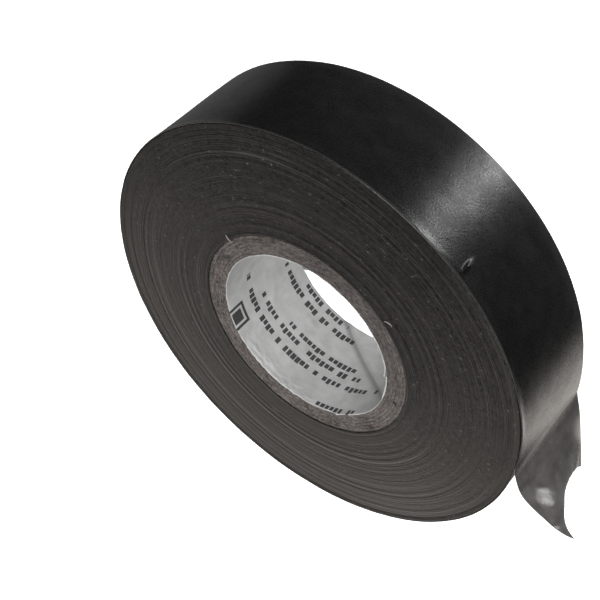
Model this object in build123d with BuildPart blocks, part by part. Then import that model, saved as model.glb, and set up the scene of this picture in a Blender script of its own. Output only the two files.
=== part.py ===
from build123d import *
import math
import os

# A roll of electrical tape lying on one face. The origin is on the roll's axis, in the resting
# face, and +Z runs along the axis. The +X axis passes through the line where the free tail
# leaves the roll. All sizes are in millimetres.

# Tape
tape_width = 19.0
backing_thickness = 0.15
adhesive_thickness = 0.03
tape_thickness = backing_thickness + adhesive_thickness
roll_radius = 39.6

# Core: a printed liner, spiral-wound chipboard plies and a kraft wrap, outwards from the bore
bore_radius = 16.0
liner_thickness = 0.10
ply_count = 6
ply_thickness = 0.56
wrap_thickness = 0.15
glue_line = 0.02
core_recess = 0.15
winding_angle = 29.0
ply_butt_gap = 0.3
ply_butt_spacing = 77.0

# Peeled end: two strips of the outermost turn that can lift, and the free tail beyond them
strip_span = 30.0
strip_count = 2
peel_gap = 0.04
hinge_clearance = 0.05
edge_clearance = 0.05

# Free tail: each long edge leaves the roll's tangent by a kink and goes on bending outwards.
# bend_power says how soon along the edge the bend comes. The tail can curl at its curl line.
lower_edge = {"kink": 29.0, "bend": -15.8, "bend_power": 0.3, "length": 17.5, "drop": 0.0}
upper_edge = {"kink": 15.0, "bend": 72.2, "bend_power": 1.15, "length": 16.5, "drop": 1.57}
tail_edge_clearance = 0.1
curl_line_share = 0.5
curl_clearance_share = 0.004
segment_stations = 4
tail_edge_steps = 60
tear_depth = 3.9
tear_cutter_height = 14.0

# The outermost surface is a spiral made of two half-circles. Each half steps the radius in by
# half a tape thickness, because its centre is moved along X by spiral_shift.
spiral_shift = tape_thickness / 4
strip_end_angle = strip_count * strip_span
clearance_angle = math.degrees(hinge_clearance / 2 / roll_radius)

core_bottom = core_recess
core_height = tape_width - 2 * core_recess
strip_height = tape_width - 2 * edge_clearance
first_ply_radius = bore_radius + liner_thickness + glue_line
ply_pitch = ply_thickness + glue_line
wrap_inner_radius = first_ply_radius + ply_count * ply_pitch
core_radius = wrap_inner_radius + wrap_thickness
first_turn_radius = core_radius + glue_line
pack_inner_radius = first_turn_radius + tape_thickness + glue_line

os.makedirs("parts", exist_ok=True)


def save(piece, node_name):
    """Label a finished piece and write its STEP file."""
    piece.part.label = node_name
    export_step(piece.part, f"parts/{node_name}.step")


def ring_profile(inner_radius, thickness):
    """A flat ring, drawn into the open sketch."""
    Circle(inner_radius + thickness)
    Circle(inner_radius, mode=Mode.SUBTRACT)


def spiral_arcs(inset, start_angle, end_angle):
    """Draw the outermost spiral, moved in by inset, between two angles. Return its two ends."""
    arcs = []
    for first, shift in ((0.0, spiral_shift), (180.0, -spiral_shift)):
        low = max(start_angle, first)
        high = min(end_angle, first + 180.0)
        if low < high:
            radius = roll_radius - abs(shift) - inset - (2 * spiral_shift if first else 0.0)
            arcs.append(CenterArc((shift, 0), radius, low, high - low))
    return arcs[0] @ 0, arcs[-1] @ 1


# Printed paper liner inside the core
with BuildPart() as core_liner:
    with BuildSketch(Plane.XY.offset(core_bottom)):
        ring_profile(bore_radius, liner_thickness)
    extrude(amount=core_height)
save(core_liner, "core_liner")

# Chipboard plies: each is one strip wound as a helix whose edges nearly meet along a butt gap.
# The cutter for the gap is a radial bar that twists as it rises.
lead_per_turn = 2 * math.pi * bore_radius * math.tan(math.radians(winding_angle))
cutter_twist = 360.0 * tape_width / lead_per_turn
gap_along_circle = ply_butt_gap / math.sin(math.radians(winding_angle))

for ply in range(ply_count):
    inner_radius = first_ply_radius + ply * ply_pitch
    bar_centre = inner_radius + ply_thickness / 2
    bar = Plane.XY * Pos(bar_centre, 0) * Rectangle(2 * ply_thickness, gap_along_circle)
    twisted_bar = Solid.extrude_linear_with_rotation(
        bar.face(), center=(0, 0, 0), normal=(0, 0, tape_width), angle=cutter_twist
    )
    with BuildPart() as core_ply:
        with BuildSketch(Plane.XY.offset(core_bottom)):
            ring_profile(inner_radius, ply_thickness)
        extrude(amount=core_height)
        add(Rot(0, 0, ply * ply_butt_spacing) * twisted_bar, mode=Mode.SUBTRACT)
    save(core_ply, f"core_ply_{ply + 1}")

# Kraft wrap on the outside of the core
with BuildPart() as core_outer_wrap:
    with BuildSketch(Plane.XY.offset(core_bottom)):
        ring_profile(wrap_inner_radius, wrap_thickness)
    extrude(amount=core_height)
save(core_outer_wrap, "core_outer_wrap")

# First turn of tape, stuck to the core
with BuildPart() as first_turn_adhesive:
    with BuildSketch():
        ring_profile(first_turn_radius, adhesive_thickness)
    extrude(amount=tape_width)
save(first_turn_adhesive, "first_turn_adhesive")

with BuildPart() as first_turn_backing:
    with BuildSketch():
        ring_profile(first_turn_radius + adhesive_thickness, backing_thickness)
    extrude(amount=tape_width)
save(first_turn_backing, "first_turn_backing")

# The turns between the first and the outermost, which never move against each other
with BuildPart() as wound_turns:
    with BuildSketch():
        with BuildLine():
            step_top, step_foot = spiral_arcs(tape_thickness + peel_gap, 0.0, 360.0)
            Line(step_foot, step_top)
        make_face()
        Circle(pack_inner_radius, mode=Mode.SUBTRACT)
    extrude(amount=tape_width)
save(wound_turns, "wound_turns")


def tape_layer(outer_inset, thickness, start_angle, end_angle, base, height):
    """One layer of the outermost turn between two angles, clear of the hinge lines."""
    start = start_angle + clearance_angle
    end = end_angle - clearance_angle
    with BuildPart() as layer:
        with BuildSketch(Plane.XY.offset(base)):
            with BuildLine():
                outer_start, outer_end = spiral_arcs(outer_inset, start, end)
                inner_start, inner_end = spiral_arcs(outer_inset + thickness, start, end)
                Line(outer_start, inner_start)
                Line(outer_end, inner_end)
            make_face()
        extrude(amount=height)
    return layer


# Each stretch of the tape: its backing outside, its adhesive under it
layers = {"backing": (0.0, backing_thickness), "adhesive": (backing_thickness, adhesive_thickness)}

for layer_name, (outer_inset, thickness) in layers.items():
    outer_turn = tape_layer(outer_inset, thickness, strip_end_angle, 360.0, 0.0, tape_width)
    save(outer_turn, f"outer_turn_{layer_name}")
    for strip in range(strip_count):
        start_angle = strip * strip_span
        peel_strip = tape_layer(
            outer_inset,
            thickness,
            start_angle,
            start_angle + strip_span,
            edge_clearance,
            strip_height,
        )
        save(peel_strip, f"peel_strip_{strip_count - strip}_{layer_name}")


def tail_edge(edge, height):
    """Points along one long edge of the tail, from the roll to the torn end."""
    point = Vector(roll_radius, -hinge_clearance / 2, height)
    step = edge["length"] / tail_edge_steps
    points = [point]
    for index in range(tail_edge_steps):
        share = (index + 0.5) / tail_edge_steps
        turn = math.radians(edge["kink"] + edge["bend"] * share ** edge["bend_power"])
        drop = -edge["drop"] * (2 * index + 1) / tail_edge_steps**2
        point = point + Vector(math.sin(turn) * step, -math.cos(turn) * step, drop)
        points.append(point)
    return points


lower_points = tail_edge(lower_edge, tail_edge_clearance)
upper_points = tail_edge(upper_edge, tape_width - tail_edge_clearance)


def point_at(points, share):
    """The point at a share of the way along an edge."""
    index = min(int(share * tail_edge_steps), tail_edge_steps - 1)
    rest = share * tail_edge_steps - index
    return points[index] + (points[index + 1] - points[index]) * rest


def tail_plane(share):
    """The plane square to the tail: X across the tape, Y out of the roll. Also its width."""
    lower = point_at(lower_points, share)
    upper = point_at(upper_points, share)
    before = max(share - 1 / tail_edge_steps, 0.0)
    after = min(share + 1 / tail_edge_steps, 1.0)
    along = point_at(lower_points, after) - point_at(lower_points, before)
    along = along + point_at(upper_points, after) - point_at(upper_points, before)
    across = (upper - lower).normalized()
    onwards = (along - across * along.dot(across)).normalized()
    return Plane(origin=(lower + upper) / 2, x_dir=across, z_dir=onwards), (upper - lower).length


# The free end is torn: a hollow bite between two points
end_plane, end_width = tail_plane(1.0)
tear_plane = Plane(origin=end_plane.origin, x_dir=end_plane.x_dir, z_dir=end_plane.y_dir)
tail_segments = {
    "tail_root": (0.0, curl_line_share - curl_clearance_share),
    "tail_tip": (curl_line_share + curl_clearance_share, 1.0),
}

for layer_name, (outer_inset, thickness) in layers.items():
    for segment_name, (first_share, last_share) in tail_segments.items():
        with BuildPart() as tail_layer:
            for station in range(segment_stations):
                station_share = station / (segment_stations - 1)
                share = first_share + (last_share - first_share) * station_share
                section_plane, section_width = tail_plane(share)
                with BuildSketch(section_plane):
                    with Locations((0, -outer_inset - thickness / 2)):
                        Rectangle(section_width, thickness)
            loft(ruled=True)
            if segment_name == "tail_tip":
                with BuildSketch(tear_plane):
                    Ellipse(end_width / 2, tear_depth)
                extrude(amount=tear_cutter_height / 2, both=True, mode=Mode.SUBTRACT)
        save(tail_layer, f"{segment_name}_{layer_name}")
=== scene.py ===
import math

import bmesh
import bpy
import numpy as np
from mathutils import Matrix, Vector


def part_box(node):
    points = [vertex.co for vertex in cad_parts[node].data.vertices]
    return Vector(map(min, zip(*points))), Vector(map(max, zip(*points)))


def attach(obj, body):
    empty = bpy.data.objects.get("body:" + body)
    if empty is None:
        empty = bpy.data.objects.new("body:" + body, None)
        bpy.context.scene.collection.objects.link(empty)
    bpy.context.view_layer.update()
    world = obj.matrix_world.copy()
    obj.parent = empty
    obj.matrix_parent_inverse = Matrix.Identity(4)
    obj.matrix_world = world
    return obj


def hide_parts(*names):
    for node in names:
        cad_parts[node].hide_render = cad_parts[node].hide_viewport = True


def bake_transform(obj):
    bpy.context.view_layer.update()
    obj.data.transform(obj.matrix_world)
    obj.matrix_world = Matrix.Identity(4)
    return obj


# An electrical tape roll lying on a pale floor. Lengths are in metres, angles in degrees.
# Angles round the roll are measured from +X, where the free tail leaves the roll.
MM = 0.001

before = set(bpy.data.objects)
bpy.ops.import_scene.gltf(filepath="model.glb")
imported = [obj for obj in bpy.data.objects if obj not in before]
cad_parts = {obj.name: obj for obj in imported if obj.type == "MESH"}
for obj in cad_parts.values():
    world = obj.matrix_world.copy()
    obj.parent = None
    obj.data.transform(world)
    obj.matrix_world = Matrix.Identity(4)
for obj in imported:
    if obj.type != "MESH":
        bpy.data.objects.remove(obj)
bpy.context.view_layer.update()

# Space left between neighbouring pieces, as in the CAD
CLEARANCE = 0.02 * MM

# Sizes read from the frame
ROLL_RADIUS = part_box("peel_strip_2_backing")[1].x
TAPE_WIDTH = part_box("wound_turns")[1].z
CORE_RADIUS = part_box("core_outer_wrap")[1].x
CORE_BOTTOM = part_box("core_liner")[0].z
CORE_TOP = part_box("core_liner")[1].z
LINER_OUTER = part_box("core_liner")[1].x
PACK_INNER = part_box("first_turn_backing")[1].x + CLEARANCE

# Sizes that the frame's boxes don't show
BACKING = 0.15 * MM
ADHESIVE = 0.03 * MM
TAPE = BACKING + ADHESIVE
PEEL_GAP = 0.04 * MM
LINER = 0.10 * MM
BORE_RADIUS = LINER_OUTER - LINER
WINDING_ANGLE = 29.0

# Points of one piece that are nearer than this are one point
MERGE = 1e-7
SHARP_ANGLE = math.radians(50)

rng = np.random.default_rng(7)


# -------- helpers

def smooth(x):
    """A soft step from 0 to 1 as x goes from 0 to 1."""
    x = np.clip(x, 0.0, 1.0)
    return x * x * (3 - 2 * x)


def bell(x, width):
    """1 at x = 0, falling off over width."""
    return np.exp(-((x / width) ** 2))


def noise_field(across, along):
    """A smooth random function of two numbers that repeats after the given counts."""
    values = rng.uniform(-1, 1, (across, along))

    def at(x, y):
        x = np.asarray(x, float) % across
        y = np.asarray(y, float) % along
        x0 = np.floor(x).astype(int) % across
        y0 = np.floor(y).astype(int) % along
        sx, sy = smooth(x - np.floor(x)), smooth(y - np.floor(y))
        x1, y1 = (x0 + 1) % across, (y0 + 1) % along
        low = values[x0, y0] * (1 - sx) + values[x1, y0] * sx
        high = values[x0, y1] * (1 - sx) + values[x1, y1] * sx
        return low * (1 - sy) + high * sy

    return at


def noise_line(knots):
    """A smooth random function of one number, one knot for each unit of it."""
    field = noise_field(knots, 1)
    return lambda x: field(x, 0.0)


def turn_from(angle, centre):
    """How far angle is past centre, in degrees, from -180 to 180."""
    return (angle - centre + 180.0) % 360.0 - 180.0


def angle_between(angle, centre):
    """How far angle is from centre, in degrees, the short way round."""
    return np.abs(turn_from(angle, centre))


def stretch(angle, centre, half, reach=1.25):
    """1 near centre, falling to 0 at reach times half degrees either side of it."""
    return smooth(reach - angle_between(angle, centre) / half)


def polar(radius, angle, height):
    """Points from radius, angle in degrees and height, as an array of x, y, z."""
    a = np.radians(angle)
    radius, a, height = np.broadcast_arrays(radius, a, height)
    return np.stack([radius * np.cos(a), radius * np.sin(a), height], -1)


def unit(vectors):
    """Vectors scaled to a length of 1."""
    return vectors / np.linalg.norm(vectors, axis=-1, keepdims=True)


def push(points, distance, angle):
    """Moves points level by distance, towards angle in radians."""
    points[..., 0] += distance * np.cos(angle)
    points[..., 1] += distance * np.sin(angle)


def grid_faces(rows, columns, first=0, flip=False, close_rows=False, close_columns=False):
    """Quads over a grid of points numbered row by row from first."""
    i = np.arange(rows if close_rows else rows - 1)
    j = np.arange(columns if close_columns else columns - 1)
    i, j = (g.ravel() for g in np.meshgrid(i, j, indexing="ij"))
    i1, j1 = (i + 1) % rows, (j + 1) % columns
    corners = [i * columns + j, i1 * columns + j, i1 * columns + j1, i * columns + j1]
    if flip:
        corners.reverse()
    return np.stack(corners, 1) + first


def build(name, parts, merge=0.0):
    """One mesh object from parts: each has points and quads, and may have a material index,
    a smooth flag, point attributes, and normals for the points of its smooth faces."""
    points = np.concatenate([p["points"].reshape(-1, 3) for p in parts])
    faces, materials, smooths, start = [], [], [], 0
    for p in parts:
        faces.append(p["faces"] + start)
        materials.append(np.broadcast_to(p.get("material", 0), len(p["faces"])))
        smooths.append(np.broadcast_to(p.get("smooth", True), len(p["faces"])))
        start += p["points"].reshape(-1, 3).shape[0]
    faces = np.concatenate(faces)
    mesh = bpy.data.meshes.new(name)
    mesh.vertices.add(len(points))
    mesh.vertices.foreach_set("co", points.astype(np.float32).ravel())
    mesh.loops.add(faces.size)
    mesh.loops.foreach_set("vertex_index", faces.astype(np.int32).ravel())
    mesh.polygons.add(len(faces))
    mesh.polygons.foreach_set("loop_start", np.arange(0, faces.size, 4, dtype=np.int32))
    mesh.polygons.foreach_set("material_index", np.concatenate(materials).astype(np.int32))
    mesh.polygons.foreach_set("use_smooth", np.concatenate(smooths))
    mesh.update(calc_edges=True)
    keys = sorted({key for p in parts for key in p.get("attributes", {})})
    for key in keys:
        layer = mesh.attributes.new(key, "FLOAT", "POINT")
        values = []
        for p in parts:
            value = p.get("attributes", {}).get(key, 0.0)
            values.append(np.broadcast_to(value, p["points"].shape[:-1]).ravel())
        layer.data.foreach_set("value", np.concatenate(values).astype(np.float32))
    rest = mesh.attributes.new("rest_place", "FLOAT_VECTOR", "POINT")
    rest.data.foreach_set("vector", points.astype(np.float32).ravel())
    bm = bmesh.new()
    bm.from_mesh(mesh)
    if merge:
        bmesh.ops.remove_doubles(bm, verts=bm.verts, dist=merge)
    bmesh.ops.recalc_face_normals(bm, faces=bm.faces)
    bm.to_mesh(mesh)
    bm.free()
    if "normals" in parts[0]:
        set_normals(mesh, parts[0]["normals"].reshape(-1, 3))
    piece = bpy.data.objects.new(name, mesh)
    bpy.context.scene.collection.objects.link(piece)
    return piece


def read(collection, attribute, width, kind=np.float32):
    """One attribute of a mesh's points, corners or faces, as an array."""
    values = np.empty(len(collection) * width, kind)
    collection.foreach_get(attribute, values)
    return values.reshape(-1, width) if width > 1 else values


def set_normals(mesh, normals):
    """Gives a mesh's smooth faces the point normals asked for, so that pieces that meet look
    like one surface. A zero normal leaves a corner as it is."""
    point = read(mesh.loops, "vertex_index", 1, np.int32)
    smooth_face = read(mesh.polygons, "use_smooth", 1, bool)
    face_normal = read(mesh.polygons, "normal", 3)
    size = read(mesh.polygons, "loop_total", 1, np.int32)
    corner_face = np.repeat(np.arange(len(size)), size)
    corner = normals[point].astype(float)
    facing = np.sum(corner * face_normal[corner_face], axis=1)
    corner[facing < 0] *= -1
    corner[~smooth_face[corner_face]] = 0.0
    mesh.normals_split_custom_set(corner.tolist())


def mark_sharp_edges(piece, wanted=None):
    """Shades edges that turn by more than SHARP_ANGLE as sharp, or only those wanted."""
    bm = bmesh.new()
    bm.from_mesh(piece.data)
    for edge in bm.edges:
        chosen = wanted is None or wanted(edge)
        if chosen and len(edge.link_faces) == 2 and edge.calc_face_angle(0.0) > SHARP_ANGLE:
            edge.smooth = False
    bm.to_mesh(piece.data)
    bm.free()
    return piece


def finish_piece(piece, materials, nodes, body=None):
    """Give a piece its materials and its body, and hide the CAD nodes it stands for."""
    for material in materials:
        piece.data.materials.append(material)
    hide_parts(*nodes)
    if body:
        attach(piece, body)
    return piece


# -------- material helpers

class Graph:
    """A short way to write the node graph of a material or of the world."""

    def __init__(self, name, kind="materials", shader="Principled BSDF"):
        self.owner = getattr(bpy.data, kind).new(name)
        self.owner.use_nodes = True
        self.nodes = self.owner.node_tree.nodes
        self.links = self.owner.node_tree.links
        self.shader = self.nodes[shader]

    def put(self, socket, value):
        """Links a socket to another node's output, or sets its own number or colour."""
        if isinstance(value, bpy.types.NodeSocket):
            self.links.new(value, socket)
        else:
            socket.default_value = (*value, 1.0) if isinstance(value, tuple) else value

    def put_all(self, node, inputs):
        for key, value in inputs.items():
            self.put(node.inputs[key.replace("_", " ")], value)

    def add(self, kind, **inputs):
        node = self.nodes.new(kind)
        self.put_all(node, inputs)
        return node

    def math(self, operation, *values):
        node = self.nodes.new("ShaderNodeMath")
        node.operation = operation
        for index, value in enumerate(values):
            self.put(node.inputs[index], value)
        return node.outputs[0]

    def plus(self, a, b):
        return self.math("ADD", a, b)

    def minus(self, a, b):
        return self.math("SUBTRACT", a, b)

    def times(self, first, *others):
        for other in others:
            first = self.math("MULTIPLY", first, other)
        return first

    def absolute(self, a):
        return self.math("ABSOLUTE", a)

    def above(self, a, b):
        """1 where a is more than b, and 0 elsewhere."""
        return self.math("GREATER_THAN", a, b)

    def below(self, a, b):
        """1 where a is less than b, and 0 elsewhere."""
        return self.math("LESS_THAN", a, b)

    def attribute(self, name, output):
        node = self.nodes.new("ShaderNodeAttribute")
        node.attribute_name = name
        return node.outputs[output]

    def value(self, name):
        return self.attribute(name, "Fac")

    def place(self):
        """The point's place at rest, in metres."""
        return self.attribute("rest_place", "Vector")

    def own_place(self):
        """The point's own place, for a CAD node, which has no stored attribute."""
        return self.nodes.new("ShaderNodeTexCoord").outputs["Object"]

    def around(self, place):
        """Angle in radians, radius and height of a place, as three outputs."""
        split = self.add("ShaderNodeSeparateXYZ", Vector=place).outputs
        angle = self.math("ARCTAN2", split["Y"], split["X"])
        squares = [self.math("POWER", split[axis], 2.0) for axis in "XY"]
        return angle, self.math("SQRT", self.plus(*squares)), split["Z"]

    def along_turns(self, angle, radius, height, reach):
        """A place where a radian counts as only reach metres, so its noise follows the turns."""
        node = self.add("ShaderNodeCombineXYZ", X=self.times(angle, reach), Y=radius, Z=height)
        return node.outputs[0]

    def noise(self, vector, size, detail=3.0, roughness=0.55):
        """A noise whose largest features are about size metres."""
        node = self.add(
            "ShaderNodeTexNoise", Vector=vector, Scale=1.0 / size, Detail=detail, Roughness=roughness
        )
        return node.outputs["Fac"]

    def random_of(self, number):
        """A random value from 0 to 1 that is fixed for each whole number."""
        node = self.nodes.new("ShaderNodeTexWhiteNoise")
        node.noise_dimensions = "1D"
        self.links.new(number, node.inputs["W"])
        return node.outputs["Value"]

    def ramp(self, value, low, high, to_low=0.0, to_high=1.0, step="LINEAR"):
        """value mapped from low..high to to_low..to_high, clamped."""
        node = self.add(
            "ShaderNodeMapRange",
            Value=value, From_Min=low, From_Max=high, To_Min=to_low, To_Max=to_high,
        )
        node.interpolation_type = step
        return node.outputs["Result"]

    def spread(self, noise, to_low=0.0, to_high=1.0):
        """A noise's usual range, 0.3 to 0.7, mapped to to_low..to_high."""
        return self.ramp(noise, 0.3, 0.7, to_low, to_high)

    def mix(self, share, a, b):
        """Colour a at share 0 and colour b at share 1."""
        node = self.nodes.new("ShaderNodeMix")
        node.data_type = "RGBA"
        sockets = {socket.identifier: socket for socket in node.inputs}
        for key, value in (("Factor_Float", share), ("A_Color", a), ("B_Color", b)):
            self.put(sockets[key], value)
        return next(o for o in node.outputs if o.identifier == "Result_Color")

    def bump(self, height, distance, strength, normal=None):
        node = self.add("ShaderNodeBump", Height=height, Distance=distance, Strength=strength)
        if normal is not None:
            self.links.new(normal, node.inputs["Normal"])
        return node.outputs["Normal"]

    def surface(self, **inputs):
        self.put_all(self.shader, inputs)
        return self.owner


# -------- materials

def tape_film_material():
    """The tape's backing: satin black vinyl with a fine orange peel, paler where handled: partly
    haze from handling, partly painted sheen.
    """
    g = Graph("tape_film")
    place = g.place()
    grain = g.noise(place, 0.24 * MM, detail=2.0, roughness=0.6)
    mottle = g.noise(place, 2.5 * MM, detail=2.0)
    cloud = g.noise(place, 11 * MM, detail=2.0)
    dust = g.ramp(g.noise(place, 0.5 * MM, detail=1.0), 0.79, 0.82, 0.0, 0.35)
    haze_and_sheen = g.times(g.value("handled"), g.spread(mottle, 0.6, 1.0))
    base = g.mix(cloud, (0.0044, 0.0046, 0.0046), (0.0066, 0.0066, 0.0065))
    base = g.mix(dust, base, (0.04, 0.04, 0.038))
    # painted sheen, partly haze from handling: the tail and the last of the roll are paler
    base = g.mix(haze_and_sheen, base, (0.155, 0.1455, 0.138))
    base = g.mix(g.value("worn"), base, (0.16, 0.155, 0.15))
    roughness = g.plus(g.spread(mottle, 0.23, 0.28), g.spread(grain, -0.02, 0.08))
    roughness = g.plus(roughness, g.times(haze_and_sheen, 0.05))
    roughness = g.minus(roughness, g.times(g.value("polished"), 0.11))
    normal = g.bump(mottle, 0.03 * MM, 0.35)
    normal = g.bump(grain, 0.022 * MM, 0.75, normal)
    return g.surface(Base_Color=base, Roughness=roughness, Normal=normal)


def tape_edge_material():
    """The slit edges of the wound turns: dull dark grey, each turn a little different."""
    g = Graph("tape_edge")
    place = g.place()
    streak = g.noise(g.along_turns(*g.around(place), 2.2 * MM), 0.30 * MM, detail=3.0)
    cloud = g.noise(place, 14 * MM, detail=3.0)
    grain = g.noise(place, 0.55 * MM, detail=4.0, roughness=0.7)
    speck = g.ramp(g.noise(place, 0.55 * MM, detail=1.0), 0.735, 0.77, 0.0, 0.6)
    tone = g.plus(g.value("tone"), g.ramp(streak, 0.25, 0.75, -0.22, 0.22))
    tone = g.plus(tone, g.spread(grain, -0.40, 0.40))
    tone = g.plus(tone, g.spread(cloud, -0.12, 0.12))
    base = g.mix(g.ramp(tone, 0.0, 1.0), (0.0020, 0.0019, 0.0018), (0.0165, 0.0154, 0.0144))
    base = g.mix(g.value("scuff"), base, (0.07, 0.068, 0.064))
    base = g.mix(speck, base, (0.11, 0.105, 0.10))
    normal = g.bump(streak, 0.02 * MM, 0.6)
    normal = g.bump(grain, 0.030 * MM, 0.8, normal)
    return g.surface(Base_Color=base, Roughness=g.spread(grain, 0.27, 0.40), Normal=normal)


def mottled_material(name, place_of, mottle, colours, roughness, bump):
    """A surface whose colour, roughness and height all follow one noise. mottle is the size and
    detail of the noise, and bump the height and strength."""
    g = Graph(name)
    noise = g.noise(place_of(g), *mottle)
    base = g.mix(noise, *colours)
    normal = g.bump(noise, *bump)
    return g.surface(Base_Color=base, Roughness=g.spread(noise, *roughness), Normal=normal)


def adhesive_material(name, place_of):
    """Black rubber adhesive: glossier than the backing, with a faint mottle."""
    colours = (0.005, 0.005, 0.005), (0.012, 0.0115, 0.011)
    bump = 0.03 * MM, 0.4
    return mottled_material(name, place_of, (1.4 * MM, 4.0), colours, (0.2, 0.38), bump)


def first_turn_material():
    """The first turn's backing, carried over from the CAD, seen only as an edge."""
    colours = (0.006, 0.006, 0.006), (0.02, 0.018, 0.016)
    name, bump = "first_turn_film", (0.02 * MM, 0.5)
    return mottled_material(name, Graph.own_place, (3 * MM, 3.0), colours, (0.4, 0.6), bump)


def fibre_material():
    """Pale grey paper fibre."""
    colours = (0.22, 0.20, 0.18), (0.42, 0.40, 0.37)
    name, bump = "paper_fibre", (0.03 * MM, 0.5)
    return mottled_material(name, Graph.place, (0.2 * MM, 3.0), colours, (0.7, 0.9), bump)


# The board's end is darker towards one side: the middle of that side, and how much darker it is
# there
DARKER_SIDE_ANGLE = 58.0
DARKER_SIDE_AMOUNT = 0.38


def chipboard_material(name, pale, dark, offset):
    """Grey-brown recycled board: fibres that run round the core, with pits and specks.
    offset, in radians, gives each board other fibres."""
    g = Graph(name)
    place = g.place()
    angle, radius, height = g.around(place)
    run = g.along_turns(g.plus(angle, offset), radius, height, 3.4 * MM)
    fibre = g.noise(run, 0.30 * MM, detail=4.0, roughness=0.7)
    pulp = g.noise(place, 0.55 * MM, detail=5.0, roughness=0.7)
    blotch = g.noise(place, 5 * MM, detail=3.0)
    reddish = g.ramp(g.noise(run, 1.3 * MM, detail=2.0), 0.58, 0.72, 0.0, 0.35)
    pit = g.ramp(g.noise(place, 0.7 * MM, detail=2.0), 0.70, 0.78, 0.0, 0.85)
    tone = g.plus(g.ramp(fibre, 0.34, 0.66, 0.0, 0.55), g.ramp(pulp, 0.36, 0.64, -0.15, 0.45))
    tone = g.plus(tone, g.spread(blotch, -0.15, 0.15))
    base = g.mix(g.ramp(tone, 0.0, 1.0), dark, pale)
    base = g.mix(reddish, base, (0.11, 0.068, 0.058))
    base = g.mix(pit, base, (0.012, 0.010, 0.009))
    # the board's end is darker towards one side
    facing = g.math("COSINE", g.minus(angle, math.radians(DARKER_SIDE_ANGLE)))
    base = g.mix(g.ramp(facing, 0.1, 0.9, 0.0, DARKER_SIDE_AMOUNT), base, dark)
    normal = g.bump(pulp, 0.12 * MM, 0.8)
    normal = g.bump(fibre, 0.08 * MM, 0.8, normal)
    return g.surface(Base_Color=base, Roughness=g.spread(pulp, 0.8, 0.95), Normal=normal)


def kraft_material():
    """Brown kraft paper, the core's outermost wrap."""
    return chipboard_material("kraft_wrap", (0.14, 0.12, 0.10), (0.045, 0.038, 0.033), 2.0)


# Greeked print on the liner: rows of plain blocks, no lettering. Each row is
# (height in mm, first and last angle in degrees, block height in mm).
PRINT_ROWS = [
    (13.1, -177.0, -42.0, 1.25),
    (10.65, -157.0, -65.0, 1.25),
    (8.9, -127.0, -69.0, 1.15),
    (3.45, -160.0, -88.0, 1.25),
    (1.2, -140.0, -98.0, 1.1),
    (18.3, -81.0, -48.0, 1.1),
]
PRINT_PITCH = 0.98 * MM
# Half the width of the narrowest and the widest block, as a share of the pitch
BLOCK_HALF_WIDTHS = (0.33, 0.45)
# The top of a low block above the row's middle, and how much more a tall one has
LOW_TOP = 0.28
TALL_EXTRA = 0.22
TALL_SHARE = 0.4
# Each row's blocks start this many blocks further round, so that no two rows are the same
ROW_SHIFT = 17.3
# Every so many blocks, counted from a shift, one is left blank
BLANKS = [(0.0, 7.0), (4.0, 11.0)]
# A plain square inside a square: angle, then height and half-sizes in mm
PRINT_MARK = {"angle": -155.0, "height": 17.6, "half": 2.1, "gap": 1.35, "half_gap": 0.22}


def printed_row(g, index, cell, degrees, height):
    """1 on the blocks of one row of the print, and 0 elsewhere."""
    middle, first, last, block = PRINT_ROWS[index]
    block = block * MM
    shifted = g.plus(cell, ROW_SHIFT * index)
    number = g.math("FLOOR", shifted)
    within = g.minus(g.minus(shifted, number), 0.5)
    chance = g.random_of(number)
    row = g.below(g.absolute(within), g.ramp(chance, 0.0, 1.0, *BLOCK_HALF_WIDTHS))
    for shift, every in BLANKS:
        row = g.times(row, g.above(g.math("FLOORED_MODULO", g.plus(number, shift), every), 0.5))
    tall = g.above(g.math("FRACT", g.times(chance, 7.0)), 1 - TALL_SHARE)
    top = g.plus(LOW_TOP * block, g.times(tall, TALL_EXTRA * block))
    up = g.minus(height, middle * MM)
    row = g.times(row, g.above(up, -0.5 * block), g.below(up, top))
    return g.times(row, g.above(degrees, first), g.below(degrees, last))


def printed_mark(g, degrees, height):
    """1 on the mark, a plain square inside a square, and 0 elsewhere."""
    across = g.times(g.minus(degrees, PRINT_MARK["angle"]), math.radians(1.0) * BORE_RADIUS / MM)
    upwards = g.minus(g.math("DIVIDE", height, MM), PRINT_MARK["height"])
    far = g.math("MAXIMUM", g.absolute(across), g.absolute(upwards))
    gap = g.below(g.absolute(g.minus(far, PRINT_MARK["gap"])), PRINT_MARK["half_gap"])
    return g.times(g.below(far, PRINT_MARK["half"]), g.minus(1.0, gap))


def liner_material():
    """Pale smooth paper with a soft mottle, painted shade beside the seam and greeked rows of print.
    """
    g = Graph("liner_paper")
    place = g.place()
    angle, _, height = g.around(place)
    mottle = g.noise(place, 2.2 * MM, detail=4.0)
    fibre = g.noise(place, 0.25 * MM, detail=3.0)
    cloud = g.noise(place, 7 * MM, detail=2.0)
    paper = g.mix(g.spread(mottle), (0.42, 0.42, 0.417), (0.56, 0.56, 0.557))
    paper = g.mix(g.ramp(cloud, 0.35, 0.7, 0.0, 0.35), paper, (0.60, 0.60, 0.597))
    # painted shade beside the seam's step: the paper is darker there
    paper = g.mix(g.value("stain"), paper, (0.19, 0.19, 0.188))
    degrees = g.times(angle, 180.0 / math.pi)
    cell = g.math("DIVIDE", g.times(angle, BORE_RADIUS), PRINT_PITCH)
    ink = printed_mark(g, degrees, height)
    for index in range(len(PRINT_ROWS)):
        ink = g.math("MAXIMUM", ink, printed_row(g, index, cell, degrees, height))
    faded = g.times(ink, g.ramp(fibre, 0.2, 0.8, 1.0, 0.85))
    base = g.mix(faded, paper, (0.010, 0.010, 0.010))
    normal = g.bump(mottle, 0.16 * MM, 0.45)
    normal = g.bump(fibre, 0.02 * MM, 0.5, normal)
    return g.surface(Base_Color=base, Roughness=g.spread(mottle, 0.5, 0.62), Normal=normal)


# -------- the wound turns

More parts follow.
